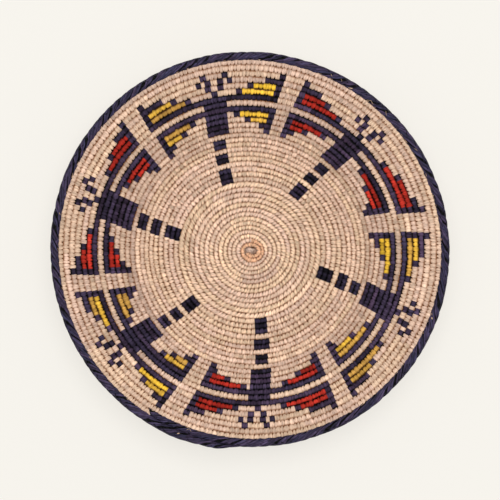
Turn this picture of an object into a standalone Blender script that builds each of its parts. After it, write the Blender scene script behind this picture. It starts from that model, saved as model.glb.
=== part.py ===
"""Coiled wall basket, 400 mm across: a shallow bowl of leaf-wrapped rounds with a dyed star and a plaited rim.

One bundle of grass is wrapped with strips of palm leaf and wound from the centre outwards, counter-clockwise as
seen from the front. Every place is given by the coil: turns count rounds from the centre, and the groove at turn t
is the inner side of round t, so the groove at turn t + 1 is its outer side. A piece is a group of stretches of the
coil that touch each other and carry one dye. Angles are clockwise from the top of the basket, seen from the front.
The basket lies on its back, with its front up, as it lies on a table.
"""

import bisect
import math

import bpy
import numpy as np

MM = 0.001

# The coil: widths are measured across a round, along the surface.
KNOT_RADIUS = 3.0 * MM
START_WIDTH = 3.9 * MM
BASE_WIDTH = 5.22 * MM
RIM_WIDTH = 6.3 * MM
COIL_THICKNESS = 5.4 * MM
GROOVE_DEPTH = 1.0 * MM
PIECE_GAP = 0.3 * MM

# Where the coil stands in its outline, because the rim ends outside its own start.
COIL_CENTRE_X = 0.63 * MM
COIL_CENTRE_Y = -0.99 * MM

# How far the hand-made outline strays from round: an oval that turns on the way up the wall, and a slight
# three-cornered shape.
STRAY_TURNS = 4
OVAL_TURNS = (17, 24)
OVAL = (0.8 * MM, 1.2 * MM)
OVAL_ANGLE = (math.radians(105), math.radians(130))
THREE_CORNERS = 0.45 * MM
THREE_CORNERS_ANGLE = math.radians(83)

# The first round lies oval around the knot and off its middle.
START_TURNS = (2.3, 4)
START_DRIFT = 1.2 * MM
START_OVAL = 0.65 * MM
START_ANGLE = math.radians(90)

# The wall has drifted off the middle of the base: to the right, and up as seen in a front view.
DRIFT_TURNS = (15, 24.5, 30, 38)
DRIFT_RIGHT = (0, 0.32 * MM, -0.2 * MM, 0.4 * MM)
DRIFT_UP = (0, -0.58 * MM, -0.33 * MM, 0.6 * MM)

# Turns of the coil where the build changes.
FIRST_TURN = 1
SHOULDER_TURN = 15
WALL_TURN = 24
COIL_END_TURN = 37.985
FULL_WIDTH_TURN = 14
BASE_END_TURN = 19.6
KNEE_TURNS = (20.8, 25.8)
WALL_SLOPE_TURN = 28
KNEE_SLOPE = math.radians(31)
WALL_SLOPE = math.radians(20.5)

# Each round's stitches stand a little clockwise of those in the round inside it.
LEAN = math.radians(0.33)
TURN_ANGLE = math.tau - LEAN

# The rim: plaited strips over the last of the bundle, one turn and an overlap.
PLAIT_WIDTH = 7.2 * MM
PLAIT_THICKNESS = 7.0 * MM
CORE_RADIUS = 1.5 * MM
PLAIT_TURNS = 1.074
START_GROWS_TURNS = 0.08
TAIL_THINS_TURNS = 0.02
START_SHARE = 0.84
TAIL_SHARE = 0.45

# The pattern, in counts along the coil. A count is about two thirds of one wrap of leaf, because the weaver changes
# strips anywhere in a wrap. The pattern reads along the coil from the pale gap before star 4.
COUNT_WIDTH = 3.15 * MM
PALE_GAP_WIDTH = 17.4 * MM
CHART_TURN = 31
STARS_ALONG_COIL = ("4", "3", "2", "1", "6", "5")
STAR_DYES = {"1": "yellow", "2": "red", "3": "yellow", "4": "red", "5": "yellow", "6": "red"}
ARM_ANGLES = {"1": 346.7, "2": 43.5, "3": 112.2, "4": 177.0, "5": 233.6, "6": 288.2}
# The pale gap on the counter-clockwise side of each star.
GAP_ANGLES = {"1": 317.5, "2": 13.55, "3": 79.3, "4": 146.5, "5": 204.75, "6": 258.4}
JOIN_ANGLE = GAP_ANGLES[STARS_ALONG_COIL[-1]]
ARM_COUNTS = {"1": 7, "2": 7, "3": 7.5, "4": 6.5, "5": 7.5, "6": 9}
# An arm widens where it crosses the pale round between the bands.
CROSSING_COUNTS = {"1": 7.5, "2": 7.5, "3": 9, "4": 7, "5": 8.5, "6": 9.5}
EDGE_COUNT = 2
CAP_COUNT = 2

# How far the outer and the inner half of each side edge of a star strays along the coil from an even pale gap.
EDGE_STRAYS = {
    ("1", "left"): (2.2 * MM, 0),
    ("1", "right"): (0, -2.0 * MM),
    ("2", "left"): (1.3 * MM, 1.8 * MM),
    ("2", "right"): (0, 2.4 * MM),
    ("3", "left"): (0, -1.1 * MM),
    ("3", "right"): (-1.4 * MM, -0.5 * MM),
    ("4", "left"): (1.6 * MM, 1.9 * MM),
    ("4", "right"): (0, 0),
    ("5", "left"): (0, 0),
    ("5", "right"): (-1.2 * MM, -1.2 * MM),
    ("6", "left"): (1.5 * MM, 0),
    ("6", "right"): (0, -1.5 * MM),
}

# The rounds of the pattern: two dark bands, the rows of a half panel counted away from its band, and the dashes.
OUTER_BAND_TURN = 31
INNER_BAND_TURN = 29
PANEL_ROWS = ("long", "short", "step", "tick")
DASH_TURNS = {"inner": (15, 16, 17), "middle": (19, 20), "outer": (22, 23)}

# Counts of each star's inner, middle and outer dash.
DASH_COUNTS = {
    "1": (4, 4, 4),
    "2": (4, 4, 4),
    "3": (4, 5, 4),
    "4": (4, 5, 4),
    "5": (4, 4, 4),
    "6": (4, 5, 5),
}

# Counts of each half panel beside an arm: its long and its short coloured row, its dark step and its tick.
OUTER_PANEL_COUNTS = {
    ("1", "left"): (12, 8, 8, 2),
    ("1", "right"): (10, 7, 6, 2),
    ("2", "left"): (12, 7, 7, 2),
    ("2", "right"): (14, 9, 5, 2),
    ("3", "left"): (12, 7, 8, 2),
    ("3", "right"): (13, 8, 8, 2),
    ("4", "left"): (13, 9, 9, 2),
    ("4", "right"): (11, 7, 6, 2),
    ("5", "left"): (11, 7, 5, 2),
    ("5", "right"): (10, 6, 7, 2),
    ("6", "left"): (11, 6, 6, 2),
    ("6", "right"): (11, 7, 6, 2),
}
INNER_PANEL_COUNTS = {
    ("1", "left"): (9, 5, 4, 2),
    ("1", "right"): (9, 5, 4, 2),
    ("2", "left"): (10, 4, 4, 2),
    ("2", "right"): (12, 6, 4, 2),
    ("3", "left"): (11, 5, 5, 2),
    ("3", "right"): (12, 6, 3, 2),
    ("4", "left"): (10, 5, 3, 2),
    ("4", "right"): (10, 4, 3, 2),
    ("5", "left"): (7, 4, 4, 2),
    ("5", "right"): (8, 5, 4, 2),
    ("6", "left"): (8, 4, 4, 2),
    ("6", "right"): (9, 5, 4, 2),
}
# The half panel that stands one round further in, with one more dark band over it.
DEEP_PANEL = ("inner", "5", "left")

# How finely the curves are divided, in parts of a turn.
PROFILE_STEPS_PER_TURN = 60
INNER_STEPS_PER_TURN = 16
MIDDLE_STEPS_PER_TURN = 30
OUTER_STEPS_PER_TURN = 48
INNER_END_TURN = 8
KNOT_SIDES = 12
CROWDING_SHARE = 0.3
PLAIT_SIDES = 8
CORE_SIDES = 5
SHARP_ANGLE = math.radians(50)

# Finishes: the colour of each dye as it shows, in sRGB, and how rough the leaf is.
DYES = {
    "natural": ("D9B69C", 0.62),
    "knot": ("C99F7C", 0.7),
    "dark": ("2E2A40", 0.5),
    "red": ("A5291F", 0.55),
    "yellow": ("E3B62C", 0.55),
    "grass": ("A68B63", 0.85),
}


def between(turns, stations, values):
    """Straight-line values between stations along the coil."""
    return np.interp(turns, stations, values)


def walk_profile():
    """Turns, radius, height and slope of the groove, added up in small steps from the knot outwards."""
    last = COIL_END_TURN + PLAIT_TURNS + FIRST_TURN
    turns = np.arange(FIRST_TURN * PROFILE_STEPS_PER_TURN, last * PROFILE_STEPS_PER_TURN + 1) / PROFILE_STEPS_PER_TURN
    stations = (FIRST_TURN, FULL_WIDTH_TURN, BASE_END_TURN, COIL_END_TURN)
    width = between(turns, stations, (START_WIDTH, BASE_WIDTH, BASE_WIDTH, RIM_WIDTH))
    stations = (BASE_END_TURN, *KNEE_TURNS, WALL_SLOPE_TURN)
    slope = between(turns, stations, (0, KNEE_SLOPE, KNEE_SLOPE, WALL_SLOPE))
    steps_out = np.cumsum(width * np.cos(slope)) / PROFILE_STEPS_PER_TURN
    steps_up = np.cumsum(width * np.sin(slope)) / PROFILE_STEPS_PER_TURN
    radius = KNOT_RADIUS + steps_out - steps_out[0]
    height = COIL_THICKNESS / 2 + steps_up - steps_up[0]
    return turns, radius, height, slope, width


PROFILE_TURNS, PROFILE_RADIUS, PROFILE_HEIGHT, PROFILE_SLOPE, PROFILE_WIDTH = walk_profile()


def radius_at(turn):
    return float(np.interp(turn, PROFILE_TURNS, PROFILE_RADIUS))


def height_at(turn):
    return float(np.interp(turn, PROFILE_TURNS, PROFILE_HEIGHT))


def slope_at(turn):
    return float(np.interp(turn, PROFILE_TURNS, PROFILE_SLOPE))


def width_at(turn):
    return float(np.interp(turn, PROFILE_TURNS, PROFILE_WIDTH))


def angle_at(turn):
    """Angle of a place along the coil, which runs counter-clockwise and leans a little at each turn."""
    return math.radians(JOIN_ANGLE) - TURN_ANGLE * (turn - CHART_TURN)


def stray(angle, turn):
    """How far the hand-made coil lies outside a true spiral."""
    fade = 1 - math.exp((FIRST_TURN - turn) / STRAY_TURNS)
    oval = between(turn, OVAL_TURNS, OVAL) * math.cos(2 * (angle - between(turn, OVAL_TURNS, OVAL_ANGLE)))
    corners = THREE_CORNERS * math.cos(3 * (angle - THREE_CORNERS_ANGLE))
    start = START_DRIFT * math.cos(angle - START_ANGLE) + START_OVAL * math.cos(2 * (angle - START_ANGLE))
    right = between(turn, DRIFT_TURNS, DRIFT_RIGHT) * math.sin(angle)
    up = between(turn, DRIFT_TURNS, DRIFT_UP) * math.cos(angle)
    return float(fade * (oval + corners) + between(turn, START_TURNS, (1, 0)) * start + right + up)


def place(turn, across, outwards, up):
    """A point at the angle of turn, on the section of the basket at turn + across. It lies outwards along the
    surface and up from its middle by these lengths. The radius of a turn is that of its groove on the front."""
    angle = angle_at(turn)
    station = turn + across
    slope = slope_at(station)
    radius = radius_at(station) + stray(angle, station)
    radius += outwards * math.cos(slope) + (COIL_THICKNESS / 2 - GROOVE_DEPTH - up) * math.sin(slope)
    height = height_at(station) + outwards * math.sin(slope) + up * math.cos(slope)
    return (
        COIL_CENTRE_X + radius * math.sin(angle),
        COIL_CENTRE_Y + radius * math.cos(angle),
        height,
    )


def turns_of(length, turn):
    """The share of a turn that a length covers along the coil."""
    return length / (radius_at(turn) * math.tau)


# The pattern chart


def column(angle):
    """A place in every round, as a share of a turn after the join."""
    return math.radians((JOIN_ANGLE - angle) % 360) / TURN_ANGLE


def counted(turn, edge, heading, first, last):
    """The stretch of the round at turn between two counts from an edge of the chart."""
    one = turns_of(COUNT_WIDTH, turn + edge + 0.5)
    ends = (turn + edge + heading * first * one, turn + edge + heading * last * one)
    return min(ends), max(ends)


def joined(stretches):
    """The same stretches in order, with those that meet made one."""
    result = []
    for start, end in sorted(stretches):
        if result and start <= result[-1][1]:
            result[-1] = (result[-1][0], max(end, result[-1][1]))
        else:
            result.append((start, end))
    return result


def half_panel(band, away, counts, edge, heading):
    """The dark outline and the coloured stretches on one side of a band, from the pale gap towards the arm."""
    dark, coloured = [], []
    for n, (row, count) in enumerate(zip(PANEL_ROWS, counts)):
        turn = band + away * (n + 1)
        if row in ("tick", "step"):
            dark.append(counted(turn, edge, heading, 0, count))
            continue
        colour_end = EDGE_COUNT + count
        cap_end = colour_end + CAP_COUNT
        dark.append(counted(turn, edge, heading, 0, EDGE_COUNT))
        if row == "long":
            dark.append(counted(turn, edge, heading, colour_end, cap_end))
            coloured.append(counted(turn, edge, heading, EDGE_COUNT, colour_end))
        else:
            coloured.append(counted(turn, edge, heading, EDGE_COUNT, cap_end))
    return dark, coloured


def dyed_pieces():
    """Each dyed piece's name, dye and stretches of the coil."""
    pieces = []
    half_gap = turns_of(PALE_GAP_WIDTH, CHART_TURN) / 2
    start = 0
    for star in STARS_ALONG_COIL:
        dye = STAR_DYES[star]
        arm = column(ARM_ANGLES[star])
        end = column(GAP_ANGLES[star]) or 1
        sides = (("right", start + half_gap, 1), ("left", end - half_gap, -1))
        start = end
        dark = []
        for half, band, away, counts_of in (
            ("outer", OUTER_BAND_TURN, 1, OUTER_PANEL_COUNTS),
            ("inner", INNER_BAND_TURN, -1, INNER_PANEL_COUNTS),
        ):
            band_ends = []
            for side, even_edge, heading in sides:
                edge = even_edge + turns_of(EDGE_STRAYS[star, side][half == "inner"], CHART_TURN)
                band_ends.append(band + edge)
                panel_band = band
                if (half, star, side) == DEEP_PANEL:
                    panel_band += away
                    dark.append((panel_band + min(arm, edge), panel_band + max(arm, edge)))
                outline, coloured = half_panel(panel_band, away, counts_of[star, side], edge, heading)
                dark += outline
                pieces.append((f"{dye}_{half}_{side}_{star}", dye, joined(coloured)))
            dark.append(tuple(band_ends))
        for turn in range(INNER_BAND_TURN - len(PANEL_ROWS), OUTER_BAND_TURN):
            if turn != INNER_BAND_TURN:
                count = (ARM_COUNTS if turn < INNER_BAND_TURN else CROSSING_COUNTS)[star]
                dark.append(counted(turn, arm, 1, -count / 2, count / 2))
        pieces.append((f"star_{star}", "dark", joined(dark)))
        for (name, turns), count in zip(DASH_TURNS.items(), DASH_COUNTS[star]):
            dash = [counted(turn, arm, 1, -count / 2, count / 2) for turn in turns]
            pieces.append((f"dash_{name}_{star}", "dark", joined(dash)))
    return pieces


def natural_pieces(dyed):
    """The undyed wrapping between the dyed pieces, in three lengths of the coil."""
    taken = joined(stretch for _, _, stretches_of in dyed for stretch in stretches_of)
    zones = (
        ("base_coil", FIRST_TURN, SHOULDER_TURN),
        ("shoulder_coil", SHOULDER_TURN, WALL_TURN),
        ("wall_coil", WALL_TURN, COIL_END_TURN),
    )
    pieces = []
    for name, start, end in zones:
        free = []
        at = start
        for first, last in taken:
            if start <= first < end:
                free.append((at, first))
                at = last
        free.append((at, end))
        pieces.append((name, "natural", [(a, b) for a, b in free if b > a]))
    return pieces


# Solids made of stretches of the coil


def steps_per_turn(turn):
    if turn < INNER_END_TURN:
        return INNER_STEPS_PER_TURN
    return MIDDLE_STEPS_PER_TURN if turn < WALL_TURN else OUTER_STEPS_PER_TURN


def groove_points(pieces):
    """Every place along the groove where a piece has a corner, with even divisions between them."""
    corners = sorted(
        {
            round(end + across, 9)
            for _, _, stretches_of in pieces
            for stretch in stretches_of
            for end in stretch
            for across in (0, 1)
        }
    )
    points = list(corners)
    turn = FIRST_TURN
    while turn < COIL_END_TURN + 1:
        parts = steps_per_turn(turn)
        near = bisect.bisect(corners, turn)
        if all(abs(turn - c) * parts > CROWDING_SHARE for c in corners[max(near - 1, 0) : near + 1]):
            points.append(turn)
        turn = (math.floor(turn * parts + CROWDING_SHARE) + 1) / parts
    return sorted(points)


def crest_points(start, end):
    """Places along the crest of one stretch: its ends, with even divisions between them."""
    parts = steps_per_turn(start)
    first = math.floor(start * parts + CROWDING_SHARE) + 1
    last = math.ceil(end * parts - CROWDING_SHARE)
    return [start] + [n / parts for n in range(first, last)] + [end]


class CoilSolid:
    """One closed solid made of stretches of the coil that touch each other."""

    def __init__(self, stretches_of, grooves):
        self.stretches = stretches_of
        self.starts = [start for start, _ in stretches_of]
        self.grooves = grooves
        self.points = []
        self.faces = []
        self.known = {}
        for start, end in stretches_of:
            self.add_stretch(start, end)

    def holds(self, turn):
        n = bisect.bisect(self.starts, turn) - 1
        return n >= 0 and turn < self.stretches[n][1]

    def corner_shift(self, turn, along, across):
        """Which way a groove point moves to leave the gap, for the quarter of coil on one side of it. Quarters
        that touch share the point, and two that only meet at the point each get their own."""
        bit = 1e-7
        quarters = [(-1, -1), (1, -1), (1, 1), (-1, 1)]
        held = [q for q in quarters if self.holds(turn + q[0] * bit + (q[1] - 1) // 2)]
        if len(held) == 2 and held[0][0] != held[1][0] and held[0][1] != held[1][1]:
            held = [(along, across)]
        move = [sum(q[n] for q in held) for n in (0, 1)]
        return tuple((m > 0) - (m < 0) for m in move)

    def point_pair(self, key, turn, across, shift, crest):
        """Indices of the front and back points at a place, made once."""
        if key not in self.known:
            half_gap = PIECE_GAP / 2
            turned = turn + shift[0] * turns_of(half_gap, turn + across)
            up = COIL_THICKNESS / 2 - (0 if crest else GROOVE_DEPTH)
            flat = slope_at(turn + across - 1) == 0
            down = COIL_THICKNESS / 2 if flat else up
            self.known[key] = len(self.points)
            self.points.append(place(turned, across, shift[1] * half_gap, up))
            self.points.append(place(turned, across, shift[1] * half_gap, -down))
        return self.known[key], self.known[key] + 1

    def groove_line(self, start, end, side):
        """(turn, front, back) along one groove of a stretch. side is 1 on the inner groove and -1 on the outer."""
        across = 0 if side == 1 else 1
        first = bisect.bisect_left(self.grooves, start + across - 1e-8)
        last = bisect.bisect_right(self.grooves, end + across + 1e-8)
        line = []
        for turn in self.grooves[first:last]:
            along = 1 if turn - across < (start + end) / 2 else -1
            shift = self.corner_shift(turn, along, side)
            key = (turn, shift)
            line.append((turn - across, *self.point_pair(key, turn, 0, shift, False)))
        return line

    def crest_line(self, start, end):
        line = []
        for turn in crest_points(start, end):
            shift = ((turn == start) - (turn == end), 0)
            line.append((turn, *self.point_pair((turn, "crest"), turn, 0.5, shift, True)))
        return line

    def add_strip(self, inner, outer):
        """Front and back faces between two lines, taking the nearer next point of either each time."""
        i = o = 0
        while i < len(inner) - 1 or o < len(outer) - 1:
            more_inner = i < len(inner) - 1
            step_inner = more_inner and (o == len(outer) - 1 or inner[i + 1][0] <= outer[o + 1][0])
            a, b = inner[i], outer[o]
            if step_inner:
                i += 1
                c = inner[i]
            else:
                o += 1
                c = outer[o]
            self.faces.append((a[1], b[1], c[1]))
            self.faces.append((a[2], c[2], b[2]))

    def add_wall(self, a, b):
        """A face from front to back under an edge that runs from a to b with the open side on its right."""
        self.faces.append((a[1], b[1], b[2], a[2]))

    def add_stretch(self, start, end):
        inner = self.groove_line(start, end, 1)
        outer = self.groove_line(start, end, -1)
        crest = self.crest_line(start, end)
        self.add_strip(inner, crest)
        self.add_strip(crest, outer)
        for a, b in zip(inner, inner[1:]):
            if not self.holds((a[0] + b[0]) / 2 - 1):
                self.add_wall(a, b)
        for a, b in zip(outer, outer[1:]):
            if not self.holds((a[0] + b[0]) / 2 + 1):
                self.add_wall(b, a)
        self.add_wall(crest[0], inner[0])
        self.add_wall(outer[0], crest[0])
        self.add_wall(inner[-1], crest[-1])
        self.add_wall(crest[-1], outer[-1])


def centre_knot():
    """The folded start of the bundle, which fills the inside of the first round."""
    points, faces = [], []
    half_gap = PIECE_GAP / 2
    for n in range(KNOT_SIDES + 1):
        turn = FIRST_TURN + n / KNOT_SIDES
        back_off = turns_of(half_gap, turn) if n in (0, KNOT_SIDES) else 0
        for up in (COIL_THICKNESS / 2 - GROOVE_DEPTH, -COIL_THICKNESS / 2):
            points.append(place(turn - back_off, 0, -half_gap, up))
    for height in (COIL_THICKNESS, 0):
        points.append((COIL_CENTRE_X, COIL_CENTRE_Y, height))
    top, bottom = len(points) - 2, len(points) - 1
    for n in range(KNOT_SIDES + 1):
        a, b = 2 * n, 2 * ((n + 1) % (KNOT_SIDES + 1))
        faces += [(top, a, b), (bottom, b + 1, a + 1), (b, a, a + 1, b + 1)]
    return points, faces


# The rim


def plait_share(turn):
    """Size of the plait at a place, as a share of its full size: it swells at its start and thins at its tail."""
    begun = (turn - COIL_END_TURN) / START_GROWS_TURNS
    left = (COIL_END_TURN + PLAIT_TURNS - turn) / TAIL_THINS_TURNS
    start = START_SHARE + (1 - START_SHARE) * min(max(begun, 0), 1)
    tail = TAIL_SHARE + (1 - TAIL_SHARE) * min(max(left, 0), 1)
    return min(start, tail)


def plait_centre(turn):
    """How far outwards of the groove the middle of the plait lies. The overlap lies outside the plait's start."""
    out = PIECE_GAP / 2 + plait_share(turn) * PLAIT_WIDTH / 2
    if turn > COIL_END_TURN + 1:
        start_covers = PLAIT_WIDTH * plait_share(turn - 1) + PIECE_GAP
        out += max(0, start_covers - width_at(turn - 1))
    return out


def plait_turns():
    """Stations along the plait, level with the corners of the round inside it."""
    start = COIL_END_TURN + turns_of(PIECE_GAP, COIL_END_TURN)
    coil_corner = COIL_END_TURN + 1
    end = COIL_END_TURN + PLAIT_TURNS
    first = math.floor(start * OUTER_STEPS_PER_TURN + CROWDING_SHARE) + 1
    last = math.ceil(end * OUTER_STEPS_PER_TURN - CROWDING_SHARE)
    even = [n / OUTER_STEPS_PER_TURN for n in range(first, last)]
    clear = [turn for turn in even if abs(turn - coil_corner) * OUTER_STEPS_PER_TURN > CROWDING_SHARE]
    return sorted([start, coil_corner, end] + clear)


def plait_ring(turn, half_width, half_thickness, sides):
    """One section of the plait or of its core."""
    out = plait_centre(turn)
    ring = []
    for n in range(sides):
        around = math.tau * n / sides
        ring.append(
            place(turn, 0, out - half_width * math.cos(around), half_thickness * math.sin(around))
        )
    return ring


def tube_walls(count, sides, first, flip):
    """Side faces of a tube of rings. They face out, or in when flipped."""
    faces = []
    for r in range(count - 1):
        for n in range(sides):
            m = (n + 1) % sides
            a, b = first + r * sides + n, first + r * sides + m
            quad = (a, b, b + sides, a + sides)
            faces.append(quad[::-1] if flip else quad)
    return faces


def end_faces(outer, inner, flip):
    """Triangles between an outer ring and the hole inside it, where both start at the same side."""
    faces = []
    i = j = 0
    while i < len(outer) or j < len(inner):
        step_outer = j == len(inner) or (i < len(outer) and (i + 1) * len(inner) <= (j + 1) * len(outer))
        a, b = outer[i % len(outer)], inner[j % len(inner)]
        if step_outer:
            i += 1
            c = outer[i % len(outer)]
        else:
            j += 1
            c = inner[j % len(inner)]
        faces.append((c, b, a) if flip else (a, b, c))
    return faces


def rim_plait():
    """A sleeve of plaited strips around the rim core, open at both ends."""
    stations = plait_turns()
    points = []
    for turn in stations:
        share = plait_share(turn)
        points += plait_ring(turn, share * PLAIT_WIDTH / 2, share * PLAIT_THICKNESS / 2, PLAIT_SIDES)
    first_hole = len(points)
    for turn in stations:
        hole = (plait_share(turn) * CORE_RADIUS + PIECE_GAP) / math.cos(math.pi / CORE_SIDES)
        points += plait_ring(turn, hole, hole, CORE_SIDES)
    count = len(stations)
    faces = tube_walls(count, PLAIT_SIDES, 0, False) + tube_walls(count, CORE_SIDES, first_hole, True)
    for r, flip in ((0, False), (count - 1, True)):
        outer = [r * PLAIT_SIDES + n for n in range(PLAIT_SIDES)]
        inner = [first_hole + r * CORE_SIDES + n for n in range(CORE_SIDES)]
        faces += end_faces(outer, inner, flip)
    return points, faces


def rim_core():
    """The last of the bundle, inside the plait."""
    stations = plait_turns()
    points = []
    for turn in stations:
        radius = plait_share(turn) * CORE_RADIUS
        points += plait_ring(turn, radius, radius, CORE_SIDES)
    last = len(points) - CORE_SIDES
    ends = [tuple(range(CORE_SIDES))[::-1], tuple(range(last, last + CORE_SIDES))]
    return points, tube_walls(len(stations), CORE_SIDES, 0, False) + ends


# Objects


def linear(part):
    """One sRGB value, 0 to 255, as linear light."""
    share = part / 255
    return share / 12.92 if share <= 0.04045 else ((share + 0.055) / 1.055) ** 2.4


def finish(dye):
    """The leaf or grass finish of one dye."""
    material = bpy.data.materials.get(dye) or bpy.data.materials.new(dye)
    colour, roughness = DYES[dye]
    material.use_nodes = True
    shader = material.node_tree.nodes["Principled BSDF"]
    shader.inputs["Base Color"].default_value = (*(linear(c) for c in bytes.fromhex(colour)), 1)
    shader.inputs["Roughness"].default_value = roughness
    shader.inputs["Metallic"].default_value = 0
    material.diffuse_color = shader.inputs["Base Color"].default_value
    return material


def add_object(name, dye, points, faces):
    mesh = bpy.data.meshes.new(name)
    mesh.from_pydata(points, [], faces)
    mesh.shade_smooth()
    mesh.set_sharp_from_angle(angle=SHARP_ANGLE)
    mesh.materials.append(finish(dye))
    bpy.context.collection.objects.link(bpy.data.objects.new(name, mesh))


def main():
    for old in list(bpy.data.objects):
        bpy.data.objects.remove(old)
    dyed = dyed_pieces()
    pieces = natural_pieces(dyed) + dyed
    grooves = groove_points(pieces)
    add_object("centre_knot", "knot", *centre_knot())
    for name, dye, stretches_of in pieces:
        solid = CoilSolid(stretches_of, grooves)
        add_object(name, dye, solid.points, solid.faces)
    add_object("rim_core", "grass", *rim_core())
    add_object("rim_plait", "dark", *rim_plait())


main()
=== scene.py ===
"""Looks of the coiled wall basket: stitches of leaf strip around its bundle, its plaited rim and its eye.

It lies on its back on a pale floor and is seen from straight above. Lengths are in metres, and MM is one
millimetre. The coil, the pattern chart and the rim path repeat the values of the part's source, because
this file can't read it.
"""

import itertools
import math

import bpy
import numpy as np
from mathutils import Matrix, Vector


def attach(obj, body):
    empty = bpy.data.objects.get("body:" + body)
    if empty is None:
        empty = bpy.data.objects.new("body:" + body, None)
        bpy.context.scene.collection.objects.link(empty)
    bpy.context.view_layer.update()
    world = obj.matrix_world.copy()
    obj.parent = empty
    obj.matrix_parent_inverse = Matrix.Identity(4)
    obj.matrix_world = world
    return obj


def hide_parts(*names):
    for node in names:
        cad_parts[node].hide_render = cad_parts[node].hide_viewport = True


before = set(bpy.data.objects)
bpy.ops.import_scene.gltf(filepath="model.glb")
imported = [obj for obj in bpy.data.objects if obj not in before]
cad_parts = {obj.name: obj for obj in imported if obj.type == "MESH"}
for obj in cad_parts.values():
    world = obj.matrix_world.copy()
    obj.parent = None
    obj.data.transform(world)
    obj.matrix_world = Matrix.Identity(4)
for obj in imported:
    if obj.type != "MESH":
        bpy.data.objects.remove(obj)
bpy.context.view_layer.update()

MM = 0.001
TAU = math.tau
rng = np.random.default_rng(29)

# The coil, as in the part's source.
KNOT_RADIUS = 3.0 * MM
START_WIDTH = 3.9 * MM
BASE_WIDTH = 5.22 * MM
RIM_WIDTH = 6.3 * MM
COIL_THICKNESS = 5.4 * MM
GROOVE_DEPTH = 1.0 * MM
PIECE_GAP = 0.3 * MM
COIL_CENTRE_X = 0.63 * MM
COIL_CENTRE_Y = -0.99 * MM
STRAY_TURNS = 4
OVAL_TURNS = (17, 24)
OVAL = (0.8 * MM, 1.2 * MM)
OVAL_ANGLE = (math.radians(105), math.radians(130))
THREE_CORNERS = 0.45 * MM
THREE_CORNERS_ANGLE = math.radians(83)
START_TURNS = (2.3, 4)
START_DRIFT = 1.2 * MM
START_OVAL = 0.65 * MM
START_ANGLE = math.radians(90)
DRIFT_TURNS = (15, 24.5, 30, 38)
DRIFT_RIGHT = (0, 0.32 * MM, -0.2 * MM, 0.4 * MM)
DRIFT_UP = (0, -0.58 * MM, -0.33 * MM, 0.6 * MM)
FIRST_TURN = 1
SHOULDER_TURN = 15
WALL_TURN = 24
COIL_END_TURN = 37.985
FULL_WIDTH_TURN = 14
BASE_END_TURN = 19.6
KNEE_TURNS = (20.8, 25.8)
WALL_SLOPE_TURN = 28
KNEE_SLOPE = math.radians(31)
WALL_SLOPE = math.radians(20.5)
LEAN = math.radians(0.33)
TURN_ANGLE = TAU - LEAN
PLAIT_WIDTH = 7.2 * MM
PLAIT_TURNS = 1.074
START_GROWS_TURNS = 0.08
TAIL_THINS_TURNS = 0.02
START_SHARE = 0.84
TAIL_SHARE = 0.45
PROFILE_STEPS_PER_TURN = 60

# The pattern chart in counts along the coil, as in the part's source.
COUNT_WIDTH = 3.15 * MM
PALE_GAP_WIDTH = 17.4 * MM
CHART_TURN = 31
STARS_ALONG_COIL = ("4", "3", "2", "1", "6", "5")
STAR_DYES = {"1": "yellow", "2": "red", "3": "yellow", "4": "red", "5": "yellow", "6": "red"}
ARM_ANGLES = {"1": 346.7, "2": 43.5, "3": 112.2, "4": 177.0, "5": 233.6, "6": 288.2}
# The pale gap on the counter-clockwise side of each star.
GAP_ANGLES = {"1": 317.5, "2": 13.55, "3": 79.3, "4": 146.5, "5": 204.75, "6": 258.4}
JOIN_ANGLE = GAP_ANGLES[STARS_ALONG_COIL[-1]]
ARM_COUNTS = {"1": 7, "2": 7, "3": 7.5, "4": 6.5, "5": 7.5, "6": 9}
# An arm widens where it crosses the pale round between the bands.
CROSSING_COUNTS = {"1": 7.5, "2": 7.5, "3": 9, "4": 7, "5": 8.5, "6": 9.5}
EDGE_COUNT = 2
CAP_COUNT = 2

# How far the outer and the inner half of a star's side edge stray along the coil from an even pale gap.
EDGE_STRAYS = {
    ("1", "left"): (2.2 * MM, 0),
    ("1", "right"): (0, -2.0 * MM),
    ("2", "left"): (1.3 * MM, 1.8 * MM),
    ("2", "right"): (0, 2.4 * MM),
    ("3", "left"): (0, -1.1 * MM),
    ("3", "right"): (-1.4 * MM, -0.5 * MM),
    ("4", "left"): (1.6 * MM, 1.9 * MM),
    ("4", "right"): (0, 0),
    ("5", "left"): (0, 0),
    ("5", "right"): (-1.2 * MM, -1.2 * MM),
    ("6", "left"): (1.5 * MM, 0),
    ("6", "right"): (0, -1.5 * MM),
}

# The rounds of the pattern: two dark bands, the rows of a half panel away from its band, and the dashes.
OUTER_BAND_TURN = 31
INNER_BAND_TURN = 29
PANEL_ROWS = ("long", "short", "step", "tick")
DASH_TURNS = {"inner": (15, 16, 17), "middle": (19, 20), "outer": (22, 23)}

# Counts of each star's inner, middle and outer dash.
DASH_COUNTS = {
    "1": (4, 4, 4),
    "2": (4, 4, 4),
    "3": (4, 5, 4),
    "4": (4, 5, 4),
    "5": (4, 4, 4),
    "6": (4, 5, 5),
}

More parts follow.
